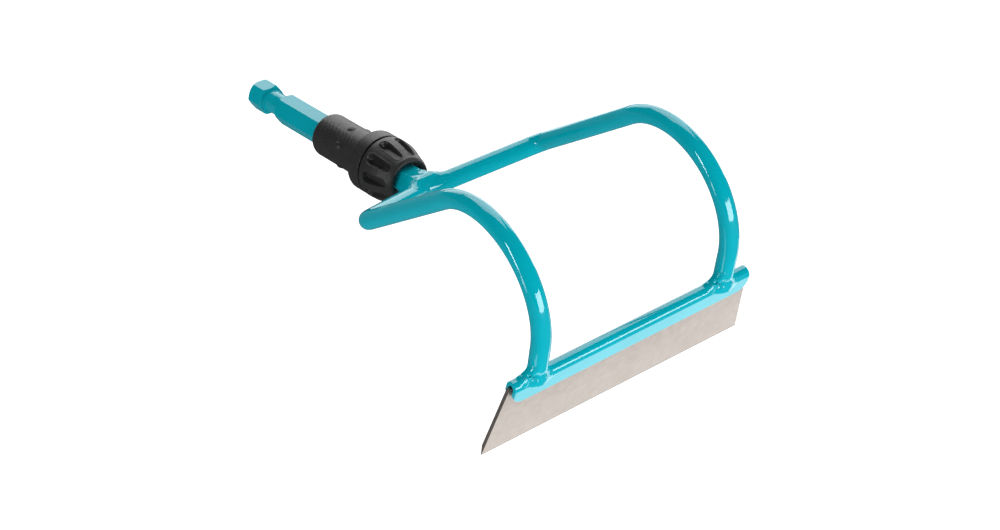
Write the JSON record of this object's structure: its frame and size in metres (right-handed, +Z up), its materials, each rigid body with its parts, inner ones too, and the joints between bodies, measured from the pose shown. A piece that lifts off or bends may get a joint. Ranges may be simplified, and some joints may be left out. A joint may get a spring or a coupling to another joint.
{
  "type": "draw hoe head",
  "caption": "Bow-shaped draw-hoe head: a bent round bar carries a wide flat blade in a folded channel; hexagonal shank with sliding sleeve and turning locking collar.",
  "frame": {"origin": "centre of the bounding box, on the floor plane that the cutting edge and the shank's head rest on", "axes": "+X across the blade, +Y from the bow towards the shank's tip, +Z up from the floor in the lying pose; x = 0 is the mirror plane"},
  "size_m": [0.1636, 0.3181, 0.1198],
  "materials": {
    "enamel": "gloss",
    "blade_steel": "satin",
    "plain_steel": "satin",
    "black_plastic": "satin",
    "black_rubber": "matte"
  },
  "bodies": {
    "head": {"bow_rod": "enamel", "hex_shank": "enamel", "shank_weld": "enamel", "foot_weld_left": "enamel", "foot_weld_right": "enamel", "blade_channel": "enamel", "blade": "blade_steel", "blade_spot_welds": "plain_steel", "thrust_ring": "plain_steel"},
    "sleeve": {"connector_sleeve": "black_plastic", "gap_seal": "black_rubber"},
    "collar": {"locking_collar": "black_plastic"}
  },
  "joints": [
    {"name": "collar_turn", "type": "hinge", "parent": "head", "child": "collar", "pos_m": [0, 0.03564, 0.02601], "axis": [0, -0.9884, 0.1517], "range_deg": [0, 270]},
    {"name": "sleeve_travel", "type": "slide", "parent": "head", "child": "sleeve", "axis": [0, 0.9884, -0.1517], "range_m": [0, 0.00225]}
  ],
  "couplings": [
    {"joint": "collar_turn", "follows": "sleeve_travel", "rad_per_m": 2094.4}
  ]
}
